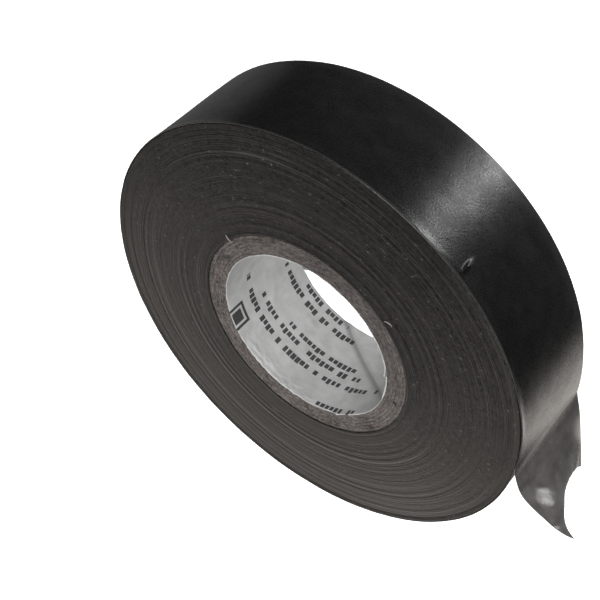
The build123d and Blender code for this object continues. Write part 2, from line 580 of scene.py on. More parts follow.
PACK_COLUMNS = 216
PACK_OUTER_START = ROLL_RADIUS - TAPE - PEEL_GAP
WOUND_TURN_COUNT = round((PACK_OUTER_START - PACK_INNER) / TAPE)
PITCH = (PACK_OUTER_START - PACK_INNER) / WOUND_TURN_COUNT
GROOVE_DEPTH = 0.015 * MM
# How far the turns' edges wander up and down, quickly and slowly, and the most that any may
EDGE_WANDER = 0.012 * MM
SLOW_WANDER = 0.8 * EDGE_WANDER
EDGE_LIMIT = 0.03 * MM
KNOTS_PER_TURN = 3.0
SLOW_KNOTS_PER_TURN = KNOTS_PER_TURN / 9
TONE_KNOTS_PER_TURN = 2.1
# Brightness of a turn's edge, how much it varies, and brightness of the grooves
RIDGE_TONE = 0.58
TONE_VARIATION = 0.14
GROOVE_TONE = 0.28
WALL_ROWS = 10

# Bands where a group of turns slid sideways a little: (share of the roll's radius where the
# band starts, shift in mm, angle where it is strongest, half-width of that stretch)
SLIPPED_BANDS = [
    (0.555, -0.025, 80.0, 140.0),
    (0.600, 0.020, 120.0, 100.0),
    (0.665, -0.024, -60.0, 120.0),
    (0.715, 0.022, 100.0, 110.0),
    (0.800, -0.026, -120.0, 150.0),
    (0.875, 0.040, 105.0, 75.0),
    (0.880, -0.038, 105.0, 75.0),
    (0.945, -0.020, 40.0, 160.0),
]
# Dark rings, and pale scuffs on the upper face: (share of the roll's radius, width in turns,
# angle, half-width of that stretch, strength)
DARK_RINGS = [
    (0.520, 1.2, 0.0, 400.0, 0.40),
    (0.548, 0.7, -50.0, 90.0, 0.35),
    (0.585, 0.8, 60.0, 200.0, 0.25),
    (0.612, 0.7, -60.0, 80.0, 0.40),
    (0.640, 1.0, -80.0, 160.0, 0.40),
    (0.668, 0.7, -40.0, 60.0, 0.45),
    (0.690, 0.8, -40.0, 120.0, 0.45),
    (0.735, 1.0, -90.0, 150.0, 0.40),
    (0.762, 0.7, -30.0, 70.0, 0.40),
    (0.792, 0.9, -70.0, 130.0, 0.50),
    (0.828, 0.7, -60.0, 60.0, 0.45),
    (0.860, 1.1, -150.0, 170.0, 0.35),
    (0.893, 0.7, -50.0, 70.0, 0.45),
    (0.925, 1.0, -95.0, 120.0, 0.45),
    (0.968, 1.0, -150.0, 140.0, 0.40),
]
SCUFFS = [
    (0.878, 1.6, 108.0, 7.0, 0.45),
    (0.905, 1.2, 99.0, 4.0, 0.3),
    (0.640, 0.7, 118.0, 20.0, 0.3),
    (0.545, 0.7, 110.0, 26.0, 0.22),
    (0.785, 0.9, 67.0, 1.2, 0.8),
    (0.577, 1.0, -157.3, 1.2, 0.8),
    (0.614, 1.1, -101.2, 1.2, 0.8),
    (0.625, 1.0, -57.6, 1.4, 0.6),
]


def is_at_the_step(edge):
    """Whether an edge lies where the spiral steps out by one turn, on the +X side."""
    return all(end.co.x > 0 and abs(end.co.y) < 10 * MERGE for end in edge.verts)


def wound_turns():
    """Spiral pack of turns: each turn is a low ridge between two grooves on both faces."""
    ring = np.arange(2 * WOUND_TURN_COUNT + 1)[:, None]
    column = np.arange(PACK_COLUMNS + 1)[None, :]
    angle = 360.0 * column / PACK_COLUMNS
    turn = np.maximum(ring / 2 - angle / 360.0, 0.0)
    radius = PACK_INNER + PITCH * turn
    angle = angle + 0 * turn
    ridge = (ring % 2 == 1) & (turn > 0)
    parts = []
    for top in (True, False):
        wander = noise_line(701)
        tone_line = noise_line(433)
        slow = noise_line(61)
        along = WOUND_TURN_COUNT - turn
        lift = EDGE_WANDER * wander(along * KNOTS_PER_TURN)
        lift = lift + SLOW_WANDER * slow(along * SLOW_KNOTS_PER_TURN)
        for share, shift, centre, half in SLIPPED_BANDS:
            start = (share * ROLL_RADIUS - PACK_INNER) / PITCH
            slipped = stretch(angle, centre, half) * smooth((turn - start) / 1.2)
            lift = lift + shift * MM * slipped
        lift = lift * smooth((WOUND_TURN_COUNT - 1 - turn) / 5)
        lift = lift - np.where(ridge, 0.0, GROOVE_DEPTH)
        lift = np.minimum(lift, EDGE_LIMIT) if top else np.minimum(lift - EDGE_LIMIT, 0.0)
        ridge_tone = RIDGE_TONE + TONE_VARIATION * tone_line(along * TONE_KNOTS_PER_TURN)
        tone = np.where(ridge, ridge_tone, GROOVE_TONE)
        scuff = 0 * turn
        for share, width, centre, half, strength in DARK_RINGS:
            off = (radius - share * ROLL_RADIUS) / PITCH
            tone = tone - strength * stretch(angle, centre, half) * bell(off, width)
        for share, width, centre, half, strength in SCUFFS if top else []:
            off = (radius - share * ROLL_RADIUS) / PITCH
            reach = bell(angle_between(angle, centre), half)
            scuff = scuff + strength * reach * bell(off, width)
        height = TAPE_WIDTH + lift if top else -lift
        parts.append(
            {
                "points": polar(radius, angle, height),
                "faces": grid_faces(*turn.shape, flip=not top),
                "attributes": {"tone": tone, "scuff": np.clip(scuff, 0, 1)},
            }
        )
    upper, lower = parts[0]["points"], parts[1]["points"]
    share = np.linspace(0, 1, WALL_ROWS + 1)[:, None, None]
    # The walls are the outermost turn, the innermost turn, and the step where the outermost ends
    for place in (np.s_[-1], np.s_[0], np.s_[-3:, 0]):
        wall = upper[place][None] * (1 - share) + lower[place][None] * share
        parts.append({"points": wall, "faces": grid_faces(*wall.shape[:2]), "material": 1})
    pack = build("wound_turns_of_tape", parts, merge=MERGE)
    return mark_sharp_edges(pack, is_at_the_step)


# -------- the tape's outer end

FILM_EDGE_INSET = 0.03 * MM
# The tail's two long edges. Each turns outwards by kink at the crease, over about the length
# of the crease, then curls by bend over its length. drop is how far its torn end hangs down.
LOWER_EDGE = {
    "kink": 26.6, "bend": -12.5, "power": 0.19, "length": 17.78 * MM, "drop": 0.0,
    "crease": 0.5 * MM,
}
UPPER_EDGE = {
    "kink": 27.9, "bend": 68.1, "power": 1.48, "length": 16.5 * MM, "drop": 0.94 * MM,
    "crease": 2.2 * MM,
}
TAIL_LENGTH = 17.0 * MM
EDGE_STEPS = 340
ROWS_ACROSS = 56
# The tear, a hollow bite: depth and raggedness as shares of the tail, knots of raggedness, and
# how steeply the bite falls at the upper corner and how much more at the lower one
TEAR = {"depth": 0.307, "jag": 0.005, "knots": 60, "steep": 0.80, "lower": 0.36, "part": 0.45}
# The loose outer end stands off at its lower edge, by this much from LIFT_FULL on
LOWER_EDGE_LIFT = 0.51 * MM
LIFT_AT_CREASE = 0.55
LIFT_START = 12 * MM
LIFT_FULL = 0.35 * TAIL_LENGTH
LIFT_TURN = 15.0
# The tail bows outwards between its edges: how much, and the shares of its length by which it
# is full, from which it fades, over which it fades, and the share of it that fades
CROWN = {"full": 0.9, "full_by": 0.625, "fades_from": 0.62, "over": 0.3, "fades": 0.8}
# The film's swells and ripples: height, degrees to a knot and knots across the width
SWELL = (0.022 * MM, 7.5, 5)
RIPPLE = (0.006 * MM, 2.4, 13)
# How far the lower edge is pressed in and the upper one stands out, and over what width
LOWER_PRESSED = (0.045 * MM, 1.1 * MM)
UPPER_RAISED = (0.05 * MM, 0.9 * MM)
# The lifted upper edge just behind the tail, by angle
LIP = {"lift": 0.10 * MM, "width": 1.2 * MM, "from": 3.0, "rise": 7.0, "to": 33.0, "fall": 10.0}
# The outermost turn is smooth over its first and last degrees, so that it meets the tail and
# the step, and the gap under it closes just before its end
SMOOTH_START = 4.0
SMOOTH_END = 8.0
GAP_CLOSES = 340.0
CLOSES_OVER = 18.0
EDGE_WAVE = 0.02 * MM
# A short upright ridge in the film where something is caught under it
BUMP = {
    "angle": 52.7, "height": 16.6 * MM, "along": 0.34 * MM, "across": 1.15 * MM,
    "lift": 0.26 * MM,
}
# Soft dents in the tail: share of the way along, share of the way up its width, half-length and
# half-width as shares, how far out in mm
TAIL_DENTS = [
    (0.40, 0.82, 0.12, 0.16, -0.92),
    (0.69, 0.84, 0.125, 0.16, 0.56),
]
# The dents slant: share of the way along, for one width across
DENT_SLANT = 0.28
# Which way a dent is pushed at the lower edge, and how far that turns by the torn upper corner
DENT_FACING = 20
DENT_FACING_TURN = 50
# The last of the roll and the tail are paler: partly haze from handling, partly a painted sheen
# that stands in for the light they mirror, the tail least along its lower edge. The roll's upper
# edge and the whole tail are polished.
HAZE_AND_SHEEN_ON_ROLL = 0.235
HINGE_FADE_LENGTH = 13 * MM
TAIL_FADE_LENGTH = 4 * MM
HAZE_AND_SHEEN_AT_LOWER_EDGE = 0.45
LOWER_PART = 0.4
POLISHED_WIDTH = 0.7 * MM
POLISHED_TAIL = 0.9
# The layers' cut edges: brightness, bulge as a share of the thickness, how worn they are, and
# over what share of the width
RIM_TONE = 0.58
RIM_BULGE = 0.22
RIM_WEAR = 0.30
RIM_WEAR_WIDTH = 0.010
# The tear stretches the film: it is thinner and paler over these lengths before it
TEAR_THINNING = 0.75
THINNED_LENGTH = 1.6 * MM
TORN_PALE_LENGTH = 0.9 * MM


def tail_edge(edge, height):
    """Points along one long edge of the tail, evenly spaced from the roll to the torn end."""
    step = edge["length"] / EDGE_STEPS
    share = (np.arange(EDGE_STEPS) + 0.5) / EDGE_STEPS
    softened = 1 - np.exp(-share * edge["length"] / edge["crease"])
    turn = np.radians(edge["kink"] * softened + edge["bend"] * share ** edge["power"])
    x = ROLL_RADIUS + np.concatenate([[0], np.cumsum(np.sin(turn) * step)])
    y = -np.concatenate([[0], np.cumsum(np.cos(turn) * step)])
    z = height - edge["drop"] * np.linspace(0, 1, EDGE_STEPS + 1) ** 2
    return np.stack([x, y, z], -1)


tail_lower = tail_edge(LOWER_EDGE, FILM_EDGE_INSET)
tail_upper = tail_edge(UPPER_EDGE, TAPE_WIDTH - FILM_EDGE_INSET)
film_swell = noise_field(48, 6)
film_ripple = noise_field(150, 14)
tear_jag = noise_line(90)
edge_wave = noise_line(120)


def edge_point(edge, share):
    """Points at shares of the way along an edge, carried straight on past its end."""
    x = np.clip(share, 0.0, 1.2) * EDGE_STEPS
    low = np.clip(np.floor(x).astype(int), 0, EDGE_STEPS - 1)
    return edge[low] + (edge[low + 1] - edge[low]) * (x - low)[..., None]


def lower_lift(along, across):
    """How far the loose end stands off towards its lower edge. along is metres past the hinge."""
    rise = LIFT_AT_CREASE * smooth((along + LIFT_START) / LIFT_START)
    rise = rise + (1 - LIFT_AT_CREASE) * smooth(along / LIFT_FULL)
    return LOWER_EDGE_LIFT * rise * np.clip(1 - across, 0, 1) ** 1.5


def film_lift(angle, height):
    """How far the outermost turn stands off its spiral: swells and ripples, rounded edges,
    one ridge, and an upper edge that is raised just behind the tail."""
    across = height / TAPE_WIDTH
    lift = 0.0
    for noise, (rise, degrees, knots) in ((film_swell, SWELL), (film_ripple, RIPPLE)):
        lift = lift + rise * noise(angle / degrees, across * knots)
    lift = lift - LOWER_PRESSED[0] * bell(height, LOWER_PRESSED[1])
    lift = lift + UPPER_RAISED[0] * bell(TAPE_WIDTH - height, UPPER_RAISED[1])
    along = np.radians(angle - BUMP["angle"]) * ROLL_RADIUS
    bump = bell(along, BUMP["along"]) * bell(height - BUMP["height"], BUMP["across"])
    lift = lift + BUMP["lift"] * bump
    raised = smooth((angle - LIP["from"]) / LIP["rise"]) * smooth((LIP["to"] - angle) / LIP["fall"])
    at_edge = smooth(1 + (height - TAPE_WIDTH) / LIP["width"]) ** 2
    return lift + LIP["lift"] * raised * at_edge


def roll_surface(angle, across, inset):
    """Points of the outermost turn, wound on the roll. across runs from 0 at the lower edge."""
    shift = TAPE / 4
    first_half = ROLL_RADIUS - shift + shift * np.cos(np.radians(angle))
    second_half = ROLL_RADIUS - 3 * shift - shift * np.cos(np.radians(angle))
    radius = np.where(angle <= 180.0, first_half, second_half)
    wave = EDGE_WAVE * edge_wave(angle / 3.0)
    height = FILM_EDGE_INSET + across * (TAPE_WIDTH - 2 * FILM_EDGE_INSET)
    inside_ends = smooth(angle / SMOOTH_START) * smooth((360.0 - angle) / SMOOTH_END)
    lift = film_lift(angle, height) * inside_ends
    lift = lift - PEEL_GAP * smooth((angle - GAP_CLOSES) / CLOSES_OVER)
    lift = lift + lower_lift(-np.radians(angle) * ROLL_RADIUS, across)
    height = height + wave * smooth(angle / SMOOTH_END) * (2 * across - 1) ** 3
    return polar(radius + lift - inset, angle, height)


def tail_outer(share, across):
    """The tail's outer surface: between its two edges, crowned, lifted and dented."""
    lower = edge_point(tail_lower, share)
    upper = edge_point(tail_upper, share)
    fading = CROWN["fades"] * smooth((share - CROWN["fades_from"]) / CROWN["over"])
    crown = CROWN["full"] * smooth(share / CROWN["full_by"]) * (1 - fading)
    spread = across + crown * across * (1 - across)
    point = lower * (1 - spread[..., None]) + upper * spread[..., None]
    point[..., 2] = lower[..., 2] * (1 - across) + upper[..., 2] * across
    lift = lower_lift(share * TAIL_LENGTH, across)
    push(point, lift, np.radians(LIFT_TURN * smooth(share * 3)))
    dent = 0.0 * share
    for centre, height, half_length, half_height, depth in TAIL_DENTS:
        off = share - centre + DENT_SLANT * (across - height)
        dent = dent + depth * MM * bell(off, half_length) * bell(across - height, half_height)
    push(point, dent, np.radians(DENT_FACING + DENT_FACING_TURN * across * share))
    return point


def tail_surface(share, across, inset):
    """Points of the tail, moved in from its outer surface by inset."""
    small = 1e-3
    back, on = np.maximum(share - small, 0), share + small
    low, high = np.maximum(across - small, 0), np.minimum(across + small, 1)
    along = tail_outer(on, across) - tail_outer(back, across)
    over = tail_outer(share, high) - tail_outer(share, low)
    normal = unit(np.cross(over, along))
    if np.mean(normal[..., 0]) < 0:
        normal = -normal
    return tail_outer(share, across) - normal * np.asarray(inset)[..., None]


def tape_surface(along, across, inset):
    """Points of the whole outer end: along is metres past the hinge line, negative on the roll."""
    angle = np.degrees(np.maximum(-along, 0) / ROLL_RADIUS)
    share = np.maximum(along, 0) / TAIL_LENGTH
    inset = inset + 0 * along
    on_roll = roll_surface(angle, across, inset)
    on_tail = tail_surface(share, across, inset)
    return np.where((along <= 0)[..., None], on_roll, on_tail)


def tape_normal(along, across):
    """The surface's normals, by differences a little way each side of each point."""
    reach = 0.1 * MM
    step = 0.005
    run = tape_surface(along + reach, across, 0.0) - tape_surface(along - reach, across, 0.0)
    low, high = np.maximum(across - step, 0), np.minimum(across + step, 1)
    over = tape_surface(along, high, 0.0) - tape_surface(along, low, 0.0)
    return unit(np.cross(run, over))


def torn_end(across):
    """How far along the tail the tear comes, as a share: a hollow bite with a ragged edge."""
    steep = TEAR["steep"] + TEAR["lower"] * smooth(1 - across / TEAR["part"])
    bite = TEAR["depth"] * np.sin(np.pi * np.clip(across, 0, 1)) ** steep
    return 1.0 - bite + TEAR["jag"] * tear_jag(across * TEAR["knots"]) * np.sin(np.pi * across)


def rim_middle(along, across, outer, inner):
    """Points between the two faces of a layer, pushed out a little along its two long edges."""
    step = 0.005
    outwards = tape_surface(along, across, 0.0) - tape_surface(along, np.abs(across - step), 0.0)
    on_long_edge = (across == 0) | (across == 1)
    bulge = RIM_BULGE * np.linalg.norm(outer - inner, axis=-1) * on_long_edge
    return (outer + inner) / 2 + unit(outwards) * bulge[..., None]


def tape_stretch(name, start, end, step, outer_inset, thickness, torn=False):
    """A closed thin solid: one layer of the tape between two places along it."""
    rows = max(3, round((end - start) / step) + 1)
    share = np.linspace(0, 1, rows)[:, None]
    across = np.linspace(0, 1, ROWS_ACROSS)[None, :] + 0 * share
    last = torn_end(across) * TAIL_LENGTH if torn else end
    along = start + share * (last - start) + 0 * across
    thin, worn = 1 + 0 * along, 0 * along
    if torn:
        thin = 1 - TEAR_THINNING * smooth(1 + (along - last) / THINNED_LENGTH)
        worn = smooth(1 + (along - last) / TORN_PALE_LENGTH)
    outer = tape_surface(along, across, outer_inset * thin)
    inner = tape_surface(along, across, (outer_inset + thickness) * thin)
    normal = tape_normal(along, across)
    worn = np.maximum(worn, RIM_WEAR * bell(np.minimum(across, 1 - across), RIM_WEAR_WIDTH))
    # painted sheen, partly haze from handling, on the last of the roll and the tail
    handled = HAZE_AND_SHEEN_ON_ROLL * smooth((along + HINGE_FADE_LENGTH) / HINGE_FADE_LENGTH)
    on_tail = (1 - HAZE_AND_SHEEN_ON_ROLL) * smooth(along / TAIL_FADE_LENGTH)
    upwards = HAZE_AND_SHEEN_AT_LOWER_EDGE + (1 - HAZE_AND_SHEEN_AT_LOWER_EDGE) * smooth(across / LOWER_PART)
    handled = handled + on_tail * upwards
    polished = bell((1 - across) * TAPE_WIDTH, POLISHED_WIDTH) * smooth(-along / HINGE_FADE_LENGTH)
    polished = polished + POLISHED_TAIL * smooth(along / TAIL_FADE_LENGTH)
    count = rows * ROWS_ACROSS
    number = np.arange(count).reshape(rows, ROWS_ACROSS)
    rim = np.concatenate([number[0], number[1:, -1], number[-1, -2::-1], number[-2:0:-1, 0]])
    middle = rim_middle(along, across, outer, inner).reshape(-1, 3)[rim]
    after = np.roll(rim, -1)
    crest = 2 * count + np.arange(len(rim))
    after_crest = np.roll(crest, -1)
    outer_border = np.stack([rim, after, after_crest, crest], 1)
    inner_border = np.stack([crest, after_crest, after + count, rim + count], 1)
    front = grid_faces(rows, ROWS_ACROSS)
    back = grid_faces(rows, ROWS_ACROSS, first=count, flip=True)
    faces = np.concatenate([front, back, outer_border, inner_border])
    on_border = np.arange(len(faces)) >= len(front) + len(back)

    def everywhere(values, at_rim):
        """Values for the points of the outer face, the inner face and the rim."""
        return np.concatenate([values.ravel(), values.ravel(), at_rim])

    part = {
        "points": np.concatenate([outer.reshape(-1, 3), inner.reshape(-1, 3), middle]),
        "faces": faces,
        "smooth": ~on_border,
        "normals": np.concatenate([normal.reshape(-1, 3), normal.reshape(-1, 3), 0 * middle]),
        "material": on_border.astype(int),
        "attributes": {
            "worn": everywhere(worn, worn.ravel()[rim]),
            "handled": everywhere(handled, handled.ravel()[rim]),
            "polished": everywhere(polished, 0.0 * rim),
            "tone": RIM_TONE,
        },
    }
    return build(name, [part])


QUARTER_TAIL = 0.25 * TAIL_LENGTH


def on_roll(angle):
    """The place along the tape at an angle round the roll."""
    return -math.radians(angle) * ROLL_RADIUS


def tangent(angle):
    """The way the tape runs, towards its free end, at an angle round the roll."""
    return (math.sin(math.radians(angle)), -math.cos(math.radians(angle)), 0.0)


# Each stretch of the outer end: name, start and end along the tape, the joint that it bends
# over, the way the tape runs there, and the body before that joint
STRETCHES = [
    ("peel_strip_1", on_roll(75), on_roll(45), "peel_line_1", tangent(60), "roll"),
    ("peel_strip_2", on_roll(45), on_roll(15), "peel_line_2", tangent(30), "peel_strip_1"),
    ("tail_root", on_roll(15), QUARTER_TAIL, "tail_bend", tangent(0), "peel_strip_2"),
    ("tail_tip", QUARTER_TAIL, TAIL_LENGTH, "tail_curl", tangent(27), "tail_root"),
]
TURN_STEP = 0.4 * MM
STRETCH_STEP = 0.2 * MM


def tape_end(film, adhesive, rim):
    """The outermost turn, the two peel strips and the tail, each as backing and adhesive."""
    layers = {
        "backing": (0.0, BACKING, film, "pvc_tape"),
        "adhesive": (BACKING, ADHESIVE, adhesive, "adhesive"),
    }
    for layer, (inset, thickness, material, slot) in layers.items():
        node = f"outer_turn_{layer}"
        turn = tape_stretch(
            f"{node}_film", on_roll(360.0), on_roll(75), TURN_STEP, inset, thickness
        )
        finish_piece(turn, [material, rim], [node], "roll")
        for name, start, end, joint, run, before in STRETCHES:
            node = f"{name}_{layer}"
            torn = name == "tail_tip"
            piece = tape_stretch(f"{node}_film", start, end, STRETCH_STEP, inset, thickness, torn)
            finish_piece(piece, [material, rim], [node])
            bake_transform(piece)


# -------- the core

CORE_COLUMNS = 400
PLY_COUNT = 6
PLY_GAP = 0.3 * MM
# Angle from the gap of one ply to the gap of the next, then the wrap's own gap and its size
PLY_SPACING = 77.0
WRAP_START = 40.0
WRAP_GAP = 0.4
LEAD = 2 * math.pi * BORE_RADIUS * math.tan(math.radians(WINDING_ANGLE))
TWIST_PER_METRE = 360.0 / LEAD
CORE_WALL = CORE_RADIUS - LINER_OUTER
BOARD_RINGS = 9
WRAP_RINGS = 3
BOARD_STEPS = 30
# The board's cut end: how rough, and how far its rims are rounded and over what share of a ply
END_ROUGHNESS = 0.05
RIM_ROUNDING = 0.09
RIM_SHARE = 0.16
# Places where the board's end is chipped: angle, share of the wall from the bore, depth in mm
CHIPS = [
    (54.9, 0.6, 0.35),
    (-35.7, 0.3, 0.3),
    (130.9, 0.8, 0.35),
    (172.2, 0.45, 0.3),
    (-120.0, 0.5, 0.2),
]
# A chip's half-length round the core and half-width across its wall, in mm
CHIP_LENGTH = 0.55
CHIP_WIDTH = 0.3


def board_end(angle, radius, across, roughness):
    """How far the cut end of a ply stands out, in metres: fibres, rounded rims and chips."""
    share = (radius - LINER_OUTER) / CORE_WALL
    lift = END_ROUGHNESS * roughness(angle / 1.3, share * 40)
    lift = lift - RIM_ROUNDING * (bell(across, RIM_SHARE) + bell(1 - across, RIM_SHARE))
    for centre, where, depth in CHIPS:
        off = angle_between(angle, centre) * math.radians(1) * radius / MM
        outwards = (share - where) * CORE_WALL / MM
        lift = lift - depth * bell(off, CHIP_LENGTH) * bell(outwards, CHIP_WIDTH)
    return lift * MM


def wound_board(name, inner, outer, start_angle, gap_angle, end_rings, roughness):
    """A strip of board wound once round the core as a helix, with a slanting butt gap."""
    across = np.linspace(0, 1, end_rings)
    down = np.linspace(0, 1, BOARD_STEPS + 1)
    along = np.linspace(0, 1, CORE_COLUMNS)[:, None]

    def points_at(along, across, down):
        """across runs from the bore outwards, down from the upper end, along round the core."""
        radius = inner + across * (outer - inner)
        height = CORE_TOP + down * (CORE_BOTTOM - CORE_TOP)
        turn = start_angle + gap_angle / 2 + along * (360.0 - gap_angle)
        angle = turn + TWIST_PER_METRE * height
        side = np.where(down == 0, 1.0, 0.0) - np.where(down == 1, 1.0, 0.0)
        return polar(radius, angle, height + side * board_end(angle, radius, across, roughness))

    sheets = []
    for side in (0.0, 1.0):
        sheets.append(points_at(along, across[None, :], side + 0.0 * across[None, :]))
        sheets.append(points_at(along, side + 0.0 * down[None, :], down[None, :]))
        sheets.append(points_at(side, across[:, None], down[None, :]))
    parts = [{"points": sheet, "faces": grid_faces(*sheet.shape[:2])} for sheet in sheets]
    return mark_sharp_edges(build(name, parts, merge=MERGE))


def core_boards(materials, kraft):
    """The six chipboard plies and the kraft wrap round them."""
    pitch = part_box("core_ply_2")[1].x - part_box("core_ply_1")[1].x
    roughness = noise_field(277, 60)
    for ply in range(PLY_COUNT):
        node = f"core_ply_{ply + 1}"
        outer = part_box(node)[1].x
        inner = outer - (pitch - CLEARANCE)
        gap_angle = math.degrees(PLY_GAP / math.sin(math.radians(WINDING_ANGLE)) / inner)
        start = ply * PLY_SPACING
        board = wound_board(
            f"{node}_board", inner, outer, start, gap_angle, BOARD_RINGS, roughness
        )
        finish_piece(board, [materials[ply % len(materials)]], [node], "roll")
    inner = outer + CLEARANCE
    wrap = wound_board(
        "core_outer_wrap_paper", inner, CORE_RADIUS, WRAP_START, WRAP_GAP, WRAP_RINGS, roughness
    )
    finish_piece(wrap, [kraft], ["core_outer_wrap"], "roll")


LINER_COLUMNS = 600
LINER_ROWS = 96
# The seam's angle at the lower rim and its turn in degrees per metre of height
SEAM_START = -100.5
SEAM_TWIST = 4780.0
# The overlap behind the seam, how far round it shows in mm, and the painted shade beside the
# seam's step: strength, place and half-width in mm
OVERLAP = 0.13 * MM
OVERLAP_FADES = 9.0
SEAM_PAINTED_SHADE = 0.75
PAINTED_SHADE_PLACE = -0.75
PAINTED_SHADE_WIDTH = 1.05
# Raggedness of the rims in mm, swells of the paper, and how far it turns out above the board
RAGGEDNESS = 0.07
LINER_SWELL = 0.03 * MM
TURNED_OUT = 0.12 * MM
TURNED_OUT_OVER = 0.5 * MM
# Soft creases of the liner: angle, height in mm, half-length and half-width in mm, slant in
# degrees from the circumference, height of the ridge in mm
LINER_CREASES = [
    (-150.0, 8.5, 1.6, 0.7, 35.0, 0.10),
    (-118.0, 5.4, 1.8, 0.6, 10.0, 0.10),
    (-100.0, 12.0, 1.8, 0.6, -30.0, 0.09),
    (120.0, 12.0, 2.5, 0.7, 20.0, 0.12),
    (60.0, 6.0, 2.2, 0.8, -25.0, 0.12),
    (10.0, 14.0, 1.8, 0.7, 40.0, 0.12),
]
# Where the paper is crumpled along the upper rim: angle of the middle, half-width in degrees,
# how far down from the rim and how high
CRUMPLE = {"angle": -112.0, "half": 34.0, "depth": 3.4 * MM, "height": 0.17 * MM}
# Torn tabs of paper that stand up from the rims: angle, half-width in degrees, height in mm
LINER_TABS = [
    (92.3, 1.6, 0.5),
    (12.8, 2.2, 0.7),
    (128.0, 5.0, 0.28),
    (140.0, 3.0, 0.22),
    (-60.0, 2.0, 0.2),
]


def liner():
    """The printed paper liner: one strip wound as a helix, its edge overlapping itself."""
    angle = np.linspace(-180, 180, LINER_COLUMNS + 1)[None, :-1]
    share = np.linspace(0, 1, LINER_ROWS)[:, None]
    ragged = noise_line(150)
    swell = noise_field(40, 9)
    crumple = noise_field(120, 50)
    rim_top = RAGGEDNESS * ragged(angle / 2.4)
    rim_bottom = RAGGEDNESS * ragged(angle / 2.4 + 75)
    for centre, half, high in LINER_TABS:
        rim_top = rim_top + high * bell(angle_between(angle, centre), half)
    low = CORE_BOTTOM - rim_bottom * MM
    high = CORE_TOP + rim_top * MM
    height = low + share * (high - low)
    past_rim = smooth((height - CORE_TOP) / TURNED_OUT_OVER)
    lift = LINER_SWELL * swell(angle / 9.0, share * 8)
    near_rim = smooth(1 - (CORE_TOP - height) / CRUMPLE["depth"])
    crumpled = near_rim * stretch(angle, CRUMPLE["angle"], CRUMPLE["half"], 1.3)
    lift = lift + CRUMPLE["height"] * crumpled * (0.4 + crumple(angle / 3.0, share * 46))
    mm_round = math.radians(1.0) * BORE_RADIUS / MM
    for centre, at, half_length, half_width, slant, ridge in LINER_CREASES:
        x = turn_from(angle, centre) * mm_round
        y = height / MM - at
        s, c = math.sin(math.radians(slant)), math.cos(math.radians(slant))
        along, off = x * c + y * s, -x * s + y * c
        lift = lift + ridge * MM * bell(along, half_length) * bell(off, half_width)
    behind = turn_from(angle, SEAM_START + SEAM_TWIST * height) * mm_round
    overlap = OVERLAP * smooth(behind / 0.12 + 0.5) * smooth(1 - behind / OVERLAP_FADES)
    # painted shade: a darker band beside the seam's step
    stain = SEAM_PAINTED_SHADE * bell(behind - PAINTED_SHADE_PLACE, PAINTED_SHADE_WIDTH)
    radius = BORE_RADIUS - np.maximum(lift, 0) - overlap + TURNED_OUT * past_rim
    radius = np.minimum(radius, LINER_OUTER - CLEARANCE)
    inner = polar(radius, angle, height)
    outer = polar(np.maximum(radius + LINER, LINER_OUTER) + 0 * angle, angle, height)
    part = {
        "points": np.concatenate([inner, outer[::-1]]),
        "faces": grid_faces(2 * LINER_ROWS, LINER_COLUMNS, close_rows=True, close_columns=True),
        "attributes": {"stain": np.concatenate([stain, 0 * stain])},
    }
    return build("core_liner_paper", [part])


# Loose paper fibres caught on the upper face: angle, radius as a share of the roll's radius,
# length in mm, heading in degrees from outwards, curl in degrees over the length
FIBRES = [
    (139.3, 0.487, 1.6, 2.0, 12.0),
    (46.2, 0.515, 1.9, 20.0, -150.0),
]
FIBRE_RADIUS = 0.09 * MM
FIBRE_RISE = 0.10 * MM
FIBRE_STEPS = 14
FIBRE_SIDES = 7


def fibres():
    """Short curled paper fibres lying on the upper face near the core."""
    parts = []
    up = np.array([0.0, 0.0, 1.0])
    around = np.linspace(0, 2 * math.pi, FIBRE_SIDES, endpoint=False)[:, None]
    for angle, share, length, heading, curl in FIBRES:
        outwards = math.radians(angle)
        point = np.array([math.cos(outwards), math.sin(outwards)]) * share * ROLL_RADIUS
        step = length * MM / FIBRE_STEPS
        rings = []
        for index in range(FIBRE_STEPS + 1):
            part = index / FIBRE_STEPS
            way = outwards + math.radians(heading + curl * part)
            side = np.array([-math.sin(way), math.cos(way), 0.0])
            taper = FIBRE_RADIUS * (0.25 + 0.75 * math.sin(math.pi * (0.08 + 0.84 * part)))
            height = TAPE_WIDTH + CLEARANCE + FIBRE_RISE * math.sin(math.pi * part) + taper
            centre = np.array([*point, height])
            rings.append(centre + taper * (np.cos(around) * side + np.sin(around) * up))
            point = point + step * np.array([math.cos(way), math.sin(way)])
        faces = grid_faces(FIBRE_STEPS + 1, FIBRE_SIDES, close_columns=True)
        parts.append({"points": np.stack(rings), "faces": faces})
    return build("loose_paper_fibres", parts)


# -------- build the object

film = tape_film_material()
edge = tape_edge_material()
adhesive = adhesive_material("tape_adhesive", Graph.place)

pack = wound_turns()
finish_piece(pack, [edge, film], ["wound_turns"], "roll")
tape_end(film, adhesive, edge)

PALE_BOARD = (0.205, 0.178, 0.164)
DARK_BOARD = (0.018, 0.0153, 0.014)
boards = [
    chipboard_material(f"chipboard_{index + 1}", PALE_BOARD, DARK_BOARD, 1.7 * index)
    for index in range(3)
]
core_boards(boards, kraft_material())

finish_piece(liner(), [liner_material()], ["core_liner"], "roll")

loose = fibres()
loose.data.materials.append(fibre_material())
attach(loose, "roll")

carried = {
    "first_turn_backing": first_turn_material(),
    "first_turn_adhesive": adhesive_material("first_turn_glue", Graph.own_place),
}
for node, material in carried.items():
    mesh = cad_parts[node].data
    mesh.materials.clear()
    mesh.materials.append(material)


# -------- floor, light and camera

WHITE = (1.0, 1.0, 1.0)
WARM = (1.0, 0.94, 0.88)
WARMER = (1.0, 0.91, 0.83)

